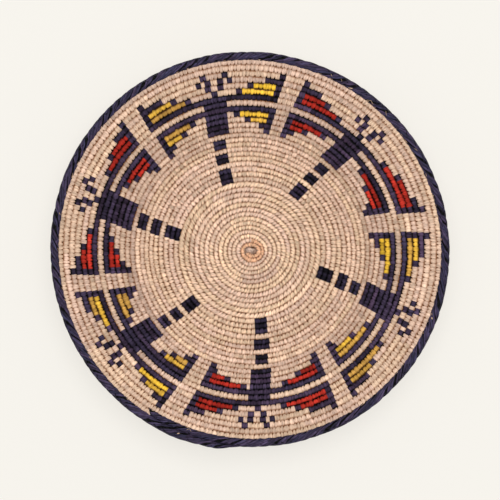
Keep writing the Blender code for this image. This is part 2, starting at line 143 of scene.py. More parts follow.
# Counts of each half panel beside an arm: its long and its short coloured row, its dark step and its tick.
OUTER_PANEL_COUNTS = {
    ("1", "left"): (12, 8, 8, 2),
    ("1", "right"): (10, 7, 6, 2),
    ("2", "left"): (12, 7, 7, 2),
    ("2", "right"): (14, 9, 5, 2),
    ("3", "left"): (12, 7, 8, 2),
    ("3", "right"): (13, 8, 8, 2),
    ("4", "left"): (13, 9, 9, 2),
    ("4", "right"): (11, 7, 6, 2),
    ("5", "left"): (11, 7, 5, 2),
    ("5", "right"): (10, 6, 7, 2),
    ("6", "left"): (11, 6, 6, 2),
    ("6", "right"): (11, 7, 6, 2),
}
INNER_PANEL_COUNTS = {
    ("1", "left"): (9, 5, 4, 2),
    ("1", "right"): (9, 5, 4, 2),
    ("2", "left"): (10, 4, 4, 2),
    ("2", "right"): (12, 6, 4, 2),
    ("3", "left"): (11, 5, 5, 2),
    ("3", "right"): (12, 6, 3, 2),
    ("4", "left"): (10, 5, 3, 2),
    ("4", "right"): (10, 4, 3, 2),
    ("5", "left"): (7, 4, 4, 2),
    ("5", "right"): (8, 5, 4, 2),
    ("6", "left"): (8, 4, 4, 2),
    ("6", "right"): (9, 5, 4, 2),
}
# The half panel that stands one round further in, with one more dark band over it.
DEEP_PANEL = ("inner", "5", "left")

# Bird tracks outside each arm: rounds away from the outer band, the middle of each tick in counts from the
# arm's middle, and its counts. They are too small for the solids.
TRACKS = (
    (1, 0, 2),
    (2, -2, 2),
    (2, 2, 2),
    (3, -5, 1.7),
    (3, -2, 2),
    (3, 2, 2),
    (3, 5, 1.7),
    (4, -3.5, 2),
    (4, 3.5, 2),
)


# The coil's path


def walk_profile():
    """Turns, radius, height, slope and width of the groove, added up from the knot outwards."""
    last = COIL_END_TURN + PLAIT_TURNS + FIRST_TURN
    steps = np.arange(FIRST_TURN * PROFILE_STEPS_PER_TURN, last * PROFILE_STEPS_PER_TURN + 1)
    turns = steps / PROFILE_STEPS_PER_TURN
    stations = (FIRST_TURN, FULL_WIDTH_TURN, BASE_END_TURN, COIL_END_TURN)
    width = np.interp(turns, stations, (START_WIDTH, BASE_WIDTH, BASE_WIDTH, RIM_WIDTH))
    stations = (BASE_END_TURN, *KNEE_TURNS, WALL_SLOPE_TURN)
    slope = np.interp(turns, stations, (0, KNEE_SLOPE, KNEE_SLOPE, WALL_SLOPE))
    out = np.cumsum(width * np.cos(slope)) / PROFILE_STEPS_PER_TURN
    up = np.cumsum(width * np.sin(slope)) / PROFILE_STEPS_PER_TURN
    return turns, KNOT_RADIUS + out - out[0], COIL_THICKNESS / 2 + up - up[0], slope, width


PROFILE_TURNS, PROFILE_RADIUS, PROFILE_HEIGHT, PROFILE_SLOPE, PROFILE_WIDTH = walk_profile()


def radius_at(turn):
    return np.interp(turn, PROFILE_TURNS, PROFILE_RADIUS)


def height_at(turn):
    return np.interp(turn, PROFILE_TURNS, PROFILE_HEIGHT)


def slope_at(turn):
    return np.interp(turn, PROFILE_TURNS, PROFILE_SLOPE)


def width_at(turn):
    return np.interp(turn, PROFILE_TURNS, PROFILE_WIDTH)


def angle_at(turn):
    """Angle of a place along the coil, clockwise from the top of the basket."""
    return math.radians(JOIN_ANGLE) - TURN_ANGLE * (turn - CHART_TURN)


def stray(angle, turn):
    """How far the hand-made coil lies outside a true spiral."""
    fade = 1 - np.exp(np.minimum(FIRST_TURN - turn, 0) / STRAY_TURNS)
    oval = np.interp(turn, OVAL_TURNS, OVAL) * np.cos(2 * (angle - np.interp(turn, OVAL_TURNS, OVAL_ANGLE)))
    corners = THREE_CORNERS * np.cos(3 * (angle - THREE_CORNERS_ANGLE))
    start = START_DRIFT * np.cos(angle - START_ANGLE) + START_OVAL * np.cos(2 * (angle - START_ANGLE))
    right = np.interp(turn, DRIFT_TURNS, DRIFT_RIGHT) * np.sin(angle)
    up = np.interp(turn, DRIFT_TURNS, DRIFT_UP) * np.cos(angle)
    return fade * (oval + corners) + np.interp(turn, START_TURNS, (1, 0)) * start + right + up


def place(turn, across, outwards, up):
    """Points at the angle of turn, on the section of the basket at turn + across, outwards along the
    surface and up from its middle. The radius of a turn is that of its groove on the front."""
    angle = angle_at(turn)
    station = turn + across
    slope = slope_at(station)
    radius = radius_at(station) + stray(angle, station) + outwards * np.cos(slope)
    radius = radius + (COIL_THICKNESS / 2 - GROOVE_DEPTH - up) * np.sin(slope)
    height = height_at(station) + outwards * np.sin(slope) + up * np.cos(slope)
    x = COIL_CENTRE_X + radius * np.sin(angle)
    y = COIL_CENTRE_Y + radius * np.cos(angle)
    return np.stack(np.broadcast_arrays(x, y, height), -1)


def turns_of(length, turn):
    return length / (radius_at(turn) * TAU)


# The pattern chart


def column(angle):
    """Where an angle lies in a round of the chart, from 0 at its join to 1."""
    return math.radians((JOIN_ANGLE - angle) % 360) / TURN_ANGLE


def counted(turn, edge, heading, first, last):
    """Start and end of a run between two counts from an edge, in the heading 1 or -1 along the coil."""
    one = turns_of(COUNT_WIDTH, turn + edge + 0.5)
    return tuple(sorted((turn + edge + heading * first * one, turn + edge + heading * last * one)))


def dyed_runs():
    """(piece, dye, start, end) of every dyed run. A short row's dark cap is a part of its star here."""
    runs = []
    half_gap = turns_of(PALE_GAP_WIDTH, CHART_TURN) / 2
    start = 0
    for star in STARS_ALONG_COIL:
        dye = STAR_DYES[star]
        arm = column(ARM_ANGLES[star])
        end = column(GAP_ANGLES[star]) or 1
        sides = (("right", start + half_gap, 1), ("left", end - half_gap, -1))
        start = end
        dark = []
        for half, band, away, counts_of in (
            ("outer", OUTER_BAND_TURN, 1, OUTER_PANEL_COUNTS),
            ("inner", INNER_BAND_TURN, -1, INNER_PANEL_COUNTS),
        ):
            band_ends = []
            for side, even_edge, heading in sides:
                edge = even_edge + turns_of(EDGE_STRAYS[star, side][half == "inner"], CHART_TURN)
                band_ends.append(band + edge)
                panel_band = band
                if (half, star, side) == DEEP_PANEL:
                    panel_band += away
                    dark.append((panel_band + min(arm, edge), panel_band + max(arm, edge)))
                for n, (row, count) in enumerate(zip(PANEL_ROWS, counts_of[star, side])):
                    turn = panel_band + away * (n + 1)
                    if row in ("tick", "step"):
                        dark.append(counted(turn, edge, heading, 0, count))
                        continue
                    end_of = EDGE_COUNT + count
                    dark.append(counted(turn, edge, heading, 0, EDGE_COUNT))
                    dark.append(counted(turn, edge, heading, end_of, end_of + CAP_COUNT))
                    panel = f"{dye}_{half}_{side}_{star}"
                    runs.append((panel, dye, *counted(turn, edge, heading, EDGE_COUNT, end_of)))
            dark.append(tuple(band_ends))
        for turn in range(INNER_BAND_TURN - len(PANEL_ROWS), OUTER_BAND_TURN):
            if turn != INNER_BAND_TURN:
                count = (ARM_COUNTS if turn < INNER_BAND_TURN else CROSSING_COUNTS)[star]
                dark.append(counted(turn, arm, 1, -count / 2, count / 2))
        runs += [(f"star_{star}", "dark", *run) for run in merged(dark)]
        for (name, turns), count in zip(DASH_TURNS.items(), DASH_COUNTS[star]):
            for turn in turns:
                runs.append((f"dash_{name}_{star}", "dark", *counted(turn, arm, 1, -count / 2, count / 2)))
        for away, middle, count in TRACKS:
            run = counted(OUTER_BAND_TURN + away, arm, 1, middle - count / 2, middle + count / 2)
            runs.append((f"track_{star}", "dark", *run))
    return sorted(runs, key=lambda run: run[2])


def merged(runs):
    """The same runs with those that touch joined into one."""
    result = []
    for start, end in sorted(runs):
        if result and start <= result[-1][1]:
            result[-1] = (result[-1][0], max(end, result[-1][1]))
        else:
            result.append((start, end))
    return result


# The bundle starts thin in the eye, and its end reaches a little under the start of the plait.
THIN_START_TURN = 0.86
THICK_TURN = 0.95
THIN_SHARE = 0.45
THIN_HEIGHT_POWER = 0.6
UNDER_PLAIT_TURNS = 0.0005
# There it is cut on the slant, and the plait starts on the same slant.
END_SLANT_TURNS = 0.0045
# The start of the first round reaches this much further into the eye, less and less between these turns.
FIRST_ROUND_REACH = 1.0 * MM
FIRST_ROUND_TURNS = (1.0, 1.3)
# The darker leaf of the start ends here, and the wall is in two pieces that meet here.
START_LEAF_END_TURN = 2.53
HIGH_WALL_TURN = 31.5

# Undyed wrapping: each piece with the CAD node that it stands for, its leaf and the turn where it starts.
NATURAL_ZONES = (
    ("coil_start", "base_coil", "knot", THIN_START_TURN),
    ("base_coil", "base_coil", "natural", START_LEAF_END_TURN),
    ("shoulder_coil", "shoulder_coil", "natural", SHOULDER_TURN),
    ("wall_coil_low", "wall_coil", "natural", WALL_TURN),
    ("wall_coil_high", "wall_coil", "natural", HIGH_WALL_TURN),
)
# Places along the coil that are closer than this count as one.
SAME_TURN = 1e-6


def all_runs():
    """Every run of one dye along the coil, in order and with none left out."""
    runs = []
    last = COIL_END_TURN + UNDER_PLAIT_TURNS
    zones = [zone[-1] for zone in NATURAL_ZONES[1:]] + [last]
    at = THIN_START_TURN
    for name, dye, start, end in dyed_runs() + [(None, None, last, last)]:
        while at < start - SAME_TURN:
            n = next(n for n, limit in enumerate(zones) if at < limit - SAME_TURN)
            stop = min(start, zones[n])
            runs.append((NATURAL_ZONES[n][0], NATURAL_ZONES[n][2], at, stop))
            at = stop
        if name:
            runs.append((name, dye, start, end))
            at = end
    return runs


# Stitches. The section of one is a ring of places across its round and heights, first over the front from
# the outer edge to the tip that overlaps the round inside, then over the back.
ACROSS = np.array([1.34, 1.04, 0.84, 0.58, 0.34, 0.13, 0.03, 0.03, 0.13, 0.34, 0.58, 0.83, 1.04])
HEIGHT = np.array([0.2, 1.75, 2.45, 2.7, 2.5, 1.95, 0.8, -0.8, -1.95, -2.5, -2.7, -2.5, -1.85]) * MM
# The same ring along the crease between two stitches, where the tips part.
CREASE_ACROSS = np.array([1.34, 1.04, 0.84, 0.58, 0.38, 0.27, 0.22, 0.22, 0.27, 0.38, 0.58, 0.83, 1.04])
CREASE_DEPTH = np.array([0, 0.25, 0.26, 0.2, 0.28, 0.4, 0.1, 0.1, 0.4, 0.28, 0.2, 0.26, 0.25]) * MM
# Painted shade of each row of the ring on undyed and on dyed leaf, and what a crease adds: 0 on the crest,
# 1 in a groove, 2 in a hole. It darkens the leaf where these lie in shadow.
SHADE = np.array([1.5, 0.55, 0.05, 0, 0.03, 0.33, 0.85, 1.0, 0.33, 0.03, 0, 0.05, 0.55])
DYED_SHADE = np.array([1.8, 0.95, 0.15, 0, 0.17, 0.95, 1.6, 1.6, 0.95, 0.17, 0, 0.15, 0.95])
CREASE_SHADE = np.array([0.5, 0.45, 0.28, 0.22, 0.36, 0.8, 0.8, 0.8, 0.8, 0.36, 0.22, 0.28, 0.45])
UNDYED = ("natural", "knot")
TIPS = np.array([0, 0, 0, 0, 0.3, 1, 1, 1, 1, 0.3, 0, 0, 0])
ROWS = len(ACROSS)
AROUND = np.concatenate(([0], np.cumsum(np.hypot(np.diff(ACROSS) * BASE_WIDTH, np.diff(HEIGHT)))))
# How far a tip reaches, how far a hole draws it back, and where it stops, in widths of the round.
TIP_REACH = 0.06
DEEPER = 0.12
DEEPEST = 0.32
# The outer edge of the last round ends here, so that it stays out of the hollow plait.
LAST_ROUND_EDGE = 1.05
# A wrap of leaf is about this wide along the coil, at these turns.
LEAF_TURNS = (1, 12, 30)
LEAF_WIDTHS = (2.9 * MM, 4.1 * MM, 4.2 * MM)
LEAF_SHIFT = 0.5 * MM
# The level middle of a stitch begins and ends at these shares of its width.
LEVEL_FROM = 0.22
LEVEL_TO = 0.78
# A run reaches this much into its neighbours, so that no gap shows between them.
RUN_OVERLAP = 0.03 * MM
# How deep the creases and the parted tips of each dye are, and how many of its notches are holes, drawn
# back and painted in dark shade.
CREASED = {"natural": 1, "knot": 1.1, "yellow": 0.9, "red": 0.8, "dark": 0.9}
HOLES = {"natural": 0.85, "knot": 0.8, "yellow": 0.75, "red": 0.85, "dark": 0.8}
# The hand's unevenness: the least and the most of the usual length of a run's parts, width of a stitch,
# weight of a crease (its painted shade and depth), depth of a hole, reach of a tip and painted groove shade
# of a stitch.
PART_SPREAD = (0.6, 1.4)
WIDTH_SPREAD = (0.62, 1.38)
CREASE_WEIGHT_SPREAD = (0.1, 1.9)
HOLE_SPREAD = (0.5, 1.3)
TIP_SPREAD = (-0.6, 1)
GROOVE_SHADE_SPREAD = (0.4, 1.6)
# The share of a crease's depth that doesn't follow its weight, which also sets its painted shade.
LEAST_DEPTH = 0.3
# How far most stitches tilt and stand out, on the parts of the ring that are higher than the last of these.
TILT_MM = 0.09
STAND_MM = 0.06
LIFTED_ABOVE = 1.9 * MM
# One strip of leaf makes at least 7 and fewer than 22 stitches.
STITCHES_PER_STRIP = (7, 22)
# How much the light of a stitch differs from its strip's, where 1 is how much strips differ.
STITCH_LIGHT = 0.8
# The fibres of each stitch are taken from another place of this long a pattern.
FIBRE_PATTERN = 50
# How much lighter and warmer than its dye the leaf of some pieces is: undyed leaf up the wall is darker
# and cooler, painted shade where the wall slopes, and the dashes and two of the stars took more dye than
# the rest.
PIECE_TONE_AND_SHADE = {
    "shoulder_coil": (-0.9, -0.1),
    "wall_coil_low": (-2.6, -0.5),
    "wall_coil_high": (-2.0, -0.4),
    "dash": (-1.6, -0.9),
    "star_1": (-0.6, -0.3),
    "star_6": (-0.4, 0),
}
# The first rounds outside the knot are paler, at these turns.
PALE_TURNS = (2.5, 2.6, 6.5)
PALE = (0, 1.6, 0)
ARC_STATIONS = 40000


def arc_table():
    """Turns and the length of the coil's middle line up to them."""
    turns = np.linspace(THIN_START_TURN, COIL_END_TURN + UNDER_PLAIT_TURNS, ARC_STATIONS)
    steps = TAU * radius_at(turns + 0.5) * (turns[1] - turns[0])
    return turns, np.concatenate(([0], np.cumsum((steps[1:] + steps[:-1]) / 2)))


ARC_TURNS, ARC_LENGTHS = arc_table()


def strips_of(total):
    """Lightness and hue of each stitch, which change from one strip of leaf to the next."""
    lengths = rng.integers(*STITCHES_PER_STRIP, total)
    index = np.repeat(np.arange(total), lengths)[:total]
    light = rng.normal(0, 1, total)[index]
    hue = rng.uniform(-1, 1, total)[index]
    return light, hue


def run_columns(start, end):
    """Turns and lengths along the coil of the creases of one run, about a strip's width apart."""
    if end - start > 1:
        # Uneven parts, so that their creases don't line up from one round to the next
        steps = rng.uniform(*PART_SPREAD, int(end - start) * 2)
        middles = start + (end - start) * np.concatenate(([0], np.cumsum(steps))) / steps.sum()
        middles[-1] = end
        parts = [run_columns(a, b) for a, b in zip(middles, middles[1:])]
        return tuple(np.concatenate([parts[0][n]] + [part[n][1:] for part in parts[1:]]) for n in (0, 1))
    first, last = np.interp((start, end), ARC_TURNS, ARC_LENGTHS)
    count = max(1, round((last - first) / np.interp(start, LEAF_TURNS, LEAF_WIDTHS)))
    widths = rng.uniform(*WIDTH_SPREAD, count)
    cuts = first + (last - first) * np.concatenate(([0], np.cumsum(widths))) / widths.sum()
    return np.interp(cuts, ARC_LENGTHS, ARC_TURNS), cuts


def new_object(name, points, faces, smooth=True):
    """A mesh object from points and arrays of faces of one size each."""
    mesh = bpy.data.meshes.new(name)
    sizes = np.concatenate([np.full(len(f), f.shape[1]) for f in faces])
    loops = np.concatenate([f.ravel() for f in faces])
    mesh.vertices.add(len(points))
    mesh.vertices.foreach_set("co", np.ascontiguousarray(points, np.float32).ravel())
    mesh.loops.add(len(loops))
    mesh.loops.foreach_set("vertex_index", loops.astype(np.int32))
    mesh.polygons.add(len(sizes))
    mesh.polygons.foreach_set("loop_start", np.concatenate(([0], np.cumsum(sizes)[:-1])).astype(np.int32))
    mesh.update(calc_edges=True)
    mesh.validate()
    if smooth:
        mesh.shade_smooth()
    made = bpy.data.objects.new(name, mesh)
    bpy.context.scene.collection.objects.link(made)
    return made


def set_attribute(made, name, domain, values):
    attribute = made.data.attributes.new(name, "FLOAT_VECTOR", domain)
    attribute.data.foreach_set("vector", np.ascontiguousarray(values, np.float32).ravel())


def tube(rings, base):
    """Points, side faces and end faces of a closed tube of rings, whose points are numbered from base."""
    count, sides = rings.shape[:2]
    c, r = np.meshgrid(np.arange(count - 1), np.arange(sides), indexing="ij")
    a = base + c * sides + r
    b = base + c * sides + (r + 1) % sides
    ends = [base + np.arange(sides)[::-1], base + (count - 1) * sides + np.arange(sides)]
    return rings.reshape(-1, 3), np.stack((a, b, b + sides, a + sides), -1).reshape(-1, 4), ends


def unit(vectors):
    return vectors / np.linalg.norm(vectors, axis=1)[:, None]


def stitch_rings(dye, start, end, cuts, lengths):
    """Rings of points of one run, and for each point its place along and around the leaf and its painted
    shade.
    """
    count = len(cuts) - 1
    total = 3 * count + 1
    turns, along = np.empty(total), np.empty(total)
    # A stitch has three rings: the crease that it starts from, and the two ends of its level middle.
    for made, ends in ((turns, cuts), (along, lengths)):
        made[0::3] = ends
        made[1::3] = ends[:-1] + LEVEL_FROM * np.diff(ends)
        made[2::3] = ends[:-1] + LEVEL_TO * np.diff(ends)
    turns[0] -= turns_of(RUN_OVERLAP, start + 0.5)
    turns[-1] += turns_of(RUN_OVERLAP, start + 0.5)
    crease = (np.arange(total) % 3 == 0)[:, None]
    crease[[0, -1]] = False
    crease_weight = rng.uniform(*CREASE_WEIGHT_SPREAD, total)[:, None]
    depth = (LEAST_DEPTH + (1 - LEAST_DEPTH) * crease_weight) * CREASED[dye]
    holed = crease[:, 0] & (rng.random(total) < HOLES[dye])
    hole = holed[:, None] * rng.uniform(*HOLE_SPREAD, total)[:, None]
    reach = np.append(np.repeat(rng.uniform(*TIP_SPREAD, count), 3), 0)[:, None]
    reach = reach * TIP_REACH * np.where(crease, 0, 1)
    lift = np.repeat(rng.normal(0, TILT_MM, count), 3) * np.tile((0, 1, -1), count)
    lift += np.repeat(rng.normal(0, STAND_MM, count), 3) * np.tile((0, 1, 1), count)
    lift = np.append(lift, 0)[:, None] * MM
    across = ACROSS + np.where(crease, depth * (CREASE_ACROSS - ACROSS), 0)
    across = across - (reach - hole * DEEPER) * TIPS
    across = np.where(TIPS == 1, np.minimum(across, DEEPEST), across)
    across[:, 0] = np.where(turns > COIL_END_TURN - 1, LAST_ROUND_EDGE, across[:, 0])
    high = HEIGHT - np.sign(HEIGHT) * np.where(crease, depth * CREASE_DEPTH, 0)
    high = high + np.sign(HEIGHT) * lift * (np.abs(HEIGHT) > LIFTED_ABOVE)
    high = np.maximum(high, -COIL_THICKNESS / 2)
    full = np.interp(turns, (THIN_START_TURN, THICK_TURN), (THIN_SHARE, 1))[:, None]
    across = 1 - (1 - across) * full
    high = np.maximum(high * full**THIN_HEIGHT_POWER, -COIL_THICKNESS / 2)
    # Each stitch leans a little.
    lean = turns_of(LEAF_SHIFT, start + 0.5) * (0.5 - across)
    lean[[0, -1]] = 0
    if end > COIL_END_TURN:
        lean[-1] = END_SLANT_TURNS * (across[-1] - 0.5)
    inwards = FIRST_ROUND_REACH * np.interp(turns, FIRST_ROUND_TURNS, (1, 0))[:, None] * TIPS
    rings = place(turns[:, None] + lean, across, -inwards, high)
    # Painted shade: darker in the grooves, varied from stitch to stitch, near black in holes, and darker
    # along creases by their weight.
    groove_shade_share = np.append(np.repeat(rng.uniform(*GROOVE_SHADE_SPREAD, count), 3), 1)[:, None]
    shade = (SHADE if dye in UNDYED else DYED_SHADE) * groove_shade_share + hole * TIPS
    shade = shade + np.where(crease, crease_weight * CREASE_SHADE, 0)
    leaf = np.broadcast_arrays(along[:, None] / MM, AROUND[None, :] / MM, np.clip(shade, 0, 2))
    return rings, np.stack(leaf, -1)


def stitch_skin(runs_of, dye):
    """Points, faces and attributes of the stitches of some runs. Each run is one closed skin."""
    points, quads, caps, leaf, strip, cap_strip = [], [], [], [], [], []
    base = 0
    for start, end, light, hue, cuts, lengths in runs_of:
        rings, ring_leaf = stitch_rings(dye, start, end, cuts, lengths)
        run_points, run_quads, ends = tube(rings, base)
        points.append(run_points)
        quads.append(run_quads)
        caps += ends
        leaf.append(ring_leaf.reshape(-1, 3))
        tone = np.stack((light, hue, rng.uniform(0, FIBRE_PATTERN, len(light))), -1)
        strip.append(np.repeat(tone, 3 * ROWS, axis=0))
        cap_strip += [tone[0], tone[-1]]
        base += len(run_points)
    return (
        np.concatenate(points),
        [np.concatenate(quads), np.array(caps)],
        np.concatenate(leaf),
        np.concatenate(strip + [np.array(cap_strip)]),
    )


# Materials


def linear(part):
    """One sRGB value, 0 to 255, as linear light."""
    share = part / 255
    return share / 12.92 if share <= 0.04045 else ((share + 0.055) / 1.055) ** 2.4


def colour(text):
    return (*(linear(c) for c in bytes.fromhex(text)), 1)


def add(tree, kind, inputs, **settings):
    """A node of that kind. Inputs are sockets to link or values to set."""
    made = tree.nodes.new("ShaderNode" + kind)
    for key, value in settings.items():
        setattr(made, key, value)
    for key, value in inputs.items():
        if isinstance(value, bpy.types.NodeSocket):
            tree.links.new(value, made.inputs[key])
        else:
            made.inputs[key].default_value = value
    return made


# The real fibres of the leaf are about 0.3 mm apart. These streaks are coarser, so that some of them show
# in the render.
STREAK_WIDTH_MM = 1.5
STREAK_LENGTH_MM = 6.0
# The noise is mostly between these values. It makes the leaf this much smoother and rougher, and raises it
# this much.
NOISE_RANGE = (0.3, 0.7)
FIBRE_ROUGHNESS = 0.1
FIBRE_HEIGHT = 0.25 * MM


def leaf_material(name, colours, strip_light, fibre_light, specular, roughness=0.6):
    """Split palm leaf: matt, with fine fibres along the strip, and a little lighter, darker or redder from
    one strip to the next. Where it dives into a groove it is darkened with painted shade. The colours are
    its coolest and its warmest, and the painted shade of a groove and of a hole."""
    cool, warm, groove, hole = (colour(text) for text in colours)
    material = bpy.data.materials.new(name)
    material.use_nodes = True
    tree = material.node_tree
    shader = tree.nodes["Principled BSDF"]
    leaf = add(tree, "Attribute", {}, attribute_name="leaf")
    leaf = add(tree, "SeparateXYZ", {0: leaf.outputs["Vector"]})
    strip = add(tree, "Attribute", {}, attribute_name="strip")
    strip = add(tree, "SeparateXYZ", {0: strip.outputs["Vector"]})
    across = add(tree, "Math", {0: leaf.outputs["X"], 1: 1 / STREAK_WIDTH_MM}, operation="MULTIPLY")
    along = add(tree, "Math", {0: leaf.outputs["Y"], 1: 1 / STREAK_LENGTH_MM}, operation="MULTIPLY")
    spot = {"X": across.outputs[0], "Y": along.outputs[0], "Z": strip.outputs["Z"]}
    spot = add(tree, "CombineXYZ", spot)
    fibre = {"Vector": spot.outputs[0], "Scale": 1.0, "Detail": 2.0, "Roughness": 0.6}
    fibre = add(tree, "TexNoise", fibre)
    fibre_part = {
        "Value": fibre.outputs["Fac"],
        "From Min": NOISE_RANGE[0],
        "From Max": NOISE_RANGE[1],
        "To Min": 1 - fibre_light,
        "To Max": 1 + fibre_light,
    }
    fibre_part = add(tree, "MapRange", fibre_part)
    strip_part = {0: strip.outputs["X"], 1: strip_light, 2: 1.0}
    strip_part = add(tree, "Math", strip_part, operation="MULTIPLY_ADD")
    bright = add(tree, "Math", {0: fibre_part.outputs[0], 1: strip_part.outputs[0]}, operation="MULTIPLY")
    hue = add(tree, "MapRange", {"Value": strip.outputs["Y"], "From Min": -1.0, "From Max": 1.0})
    # A mix of colours takes them at inputs 6 and 7 and gives its result at output 2.
    tint = add(tree, "Mix", {0: hue.outputs[0], 6: cool, 7: warm}, data_type="RGBA")
    lit = add(tree, "VectorMath", {0: tint.outputs[2], "Scale": bright.outputs[0]}, operation="SCALE")
    # Painted shade: the leaf's shade value darkens it towards the groove colour, and beyond 1 towards the
    # near-black hole colour.
    groove_shaded = add(tree, "Mix", {0: leaf.outputs["Z"], 6: lit.outputs[0], 7: groove}, data_type="RGBA")
    deeper = add(tree, "Math", {0: leaf.outputs["Z"], 1: 1.0}, operation="SUBTRACT", use_clamp=True)
    final = add(tree, "Mix", {0: deeper.outputs[0], 6: groove_shaded.outputs[2], 7: hole}, data_type="RGBA")
    bump = add(tree, "Bump", {"Height": fibre.outputs["Fac"], "Strength": 0.5, "Distance": FIBRE_HEIGHT})
    rough = {
        "Value": fibre.outputs["Fac"],
        "To Min": roughness - FIBRE_ROUGHNESS,
        "To Max": roughness + FIBRE_ROUGHNESS,
    }
    rough = add(tree, "MapRange", rough)
    tree.links.new(final.outputs[2], shader.inputs["Base Color"])
    tree.links.new(rough.outputs[0], shader.inputs["Roughness"])
    tree.links.new(bump.outputs[0], shader.inputs["Normal"])
    shader.inputs["Specular IOR Level"].default_value = specular
    return material


LEAVES = {
    # Undyed leaf, dried pale: cream to peach, with tan fibres
    "natural": leaf_material(
        "natural_leaf",
        ("EBC8B2", "F1CFAE", "86532E", "100703"),
        strip_light=0.07,
        fibre_light=0.36,
        specular=0.15,
    ),
    # The older undyed leaf of the start: a warmer, darker tan that rings the eye
    "knot": leaf_material(
        "knot_leaf",
        ("EDB893", "F2C59D", "7A4220", "1A0D06"),
        strip_light=0.09,
        fibre_light=0.4,
        specular=0.15,
        roughness=0.65,
    ),
    # Leaf dyed dark violet: nearly black, with strips that took the dye unevenly
    "dark": leaf_material(
        "dark_leaf",
        ("3A3247", "4B3A50", "040405", "000000"),
        strip_light=0.2,
        fibre_light=0.6,
        specular=0.05,
    ),
    # Leaf dyed red: deep brick to scarlet, with painted shade near black where strips meet
    "red": leaf_material(
        "red_leaf",
        ("A0281E", "C6372A", "140302", "020000"),
        strip_light=0.16,
        fibre_light=0.4,
        specular=0.04,
    ),
    # Leaf dyed yellow: mustard to clear yellow, over the brown of the leaf itself
    "yellow": leaf_material(
        "yellow_leaf",
        ("D2A04E", "FAC83A", "54330C", "140A03"),
        strip_light=0.12,
        fibre_light=0.34,
        specular=0.1,
    ),
    # The dark strips of the plait, which hands have rubbed: a little bluer, with more shine
    "rim": leaf_material(
        "rim_leaf",
        ("34324C", "493C56", "040406", "000000"),
        strip_light=0.22,
        fibre_light=0.6,
        specular=0.12,
    ),
    # The cut fibres of the bundle's end: rough, in greyish tan
    "fibre": leaf_material(
        "fibre_butt",
        ("C2A592", "DCBFAE", "6E4A30", "2A1B12"),
        strip_light=0.09,
        fibre_light=0.6,
        specular=0.3,
        roughness=0.85,
    ),
}


def finish(made, material, nodes):
    """Gives a piece its material, and ties it to the CAD."""
    made.data.materials.append(material)
    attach(made, "root")
    if nodes:
        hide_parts(*nodes)


def build_stitches():
    nodes_of = {zone[0]: (zone[1],) for zone in NATURAL_ZONES}
    groups = {}
    for name, dye, start, end in all_runs():
        cuts, lengths = run_columns(start, end)
        count = len(cuts) - 1
        light, hue = strips_of(count)
        # A piece's tone; up the wall it is painted shade.
        tones = (tone for part, tone in PIECE_TONE_AND_SHADE.items() if name.startswith(part))
        lighter, warmer = next(tones, (0, 0))
        light = light + rng.normal(0, STITCH_LIGHT, count)
        light = light + lighter + np.interp(cuts[:-1], PALE_TURNS, PALE)
        hue = np.clip(hue + warmer, -1, 1)
        groups.setdefault((name, dye), []).append((start, end, light, hue, cuts, lengths))
    for (name, dye), runs_of in groups.items():
        points, faces, leaf, strip = stitch_skin(runs_of, dye)
        made = new_object(f"leaf_{name}", points, faces)
        set_attribute(made, "leaf", "POINT", leaf)
        set_attribute(made, "strip", "FACE", strip)
        nodes = () if name.startswith("track") else nodes_of.get(name, (name,))
        finish(made, LEAVES[dye], nodes)


build_stitches()

# The rim plait


def plait_share(turn):
    """How large the plait is in the part's source, as a share of its full size."""
    begun = np.clip((turn - COIL_END_TURN) / START_GROWS_TURNS, 0, 1)
    left = np.clip((COIL_END_TURN + PLAIT_TURNS - turn) / TAIL_THINS_TURNS, 0, 1)
    return np.minimum(START_SHARE + (1 - START_SHARE) * begun, TAIL_SHARE + (1 - TAIL_SHARE) * left)


def plait_centre(turn):
    """How far the plait's middle lies outside the groove of its turn."""
    out = PIECE_GAP / 2 + plait_share(turn) * PLAIT_WIDTH / 2
    start_covers = PLAIT_WIDTH * plait_share(turn - 1) + PIECE_GAP
    return out + np.where(turn > COIL_END_TURN + 1, np.maximum(0, start_covers - width_at(turn - 1)), 0)


# The plait lies over the front of the last of the bundle, which is wrapped in dark leaf. Lengths are across
# the rim and up from its middle, in their greatest size.
WRAP_HALF_WIDTH = 3.3 * MM
WRAP_HALF_HEIGHT = 2.9 * MM
WRAP_SIDES = 16
# The wrap is painted in deep shade, near black, since it shows only through the slits of the plait.
WRAP_SHADE = 1.2
PLAIT_HALF_WIDTH = 3.2 * MM
PLAIT_HALF_HEIGHT = 3.15 * MM
PLAIT_SHIFT = -1.0 * MM
PLAIT_STATIONS = 1000
STRANDS = 5
STRAND_PERIOD = 54 * MM
STRAND_HALF_WIDTH = 2.5 * MM
# Each strand is of two strips side by side, each of this share of its width.
STRIPS_BESIDE = (-0.5, 0.5)
STRIP_SHARE = 0.56
# Strands of hand work run unevenly. Three waves shift their phase: how much, how long each is, and how far
# it lags from strand to strand.
STRAND_SHIFTS = ((0.7, 61 * MM, 0), (0.5, 23 * MM, 0), (0.25, 9 * MM, 2.3))
# A strand's width and the height of its two strips swell in waves of these sizes and lengths.
WIDTH_WAVE = 0.12
WIDTH_WAVE_LENGTH = 7.3 * MM
STRIP_WAVE = 0.25 * MM
STRIP_WAVE_LENGTH = 4.1 * MM
# A strand runs to and fro in a zigzag. At 1 its turns would be sharp.
ZIGZAG_SHARPNESS = 0.97
# A strand is this much narrower in the middle of the plait, where slits open between the strands, over this
# share of its swing, and this much narrower where it turns at an edge.
STRAND_WAIST = 0.35
WAIST_REACH = 0.25
TURN_NARROWS = 0.25
STRAND_HALF_THICKNESS = 0.45 * MM
STRAND_RISE = 0.5 * MM
# It bulges this much where it turns at an edge.
STRAND_BULGE = 0.5 * MM
# How closely the bulge and the narrowing keep to the turn.
TURN_POWER = 8
STRAND_SWING = math.radians(88)
STRAND_SIDES = 8
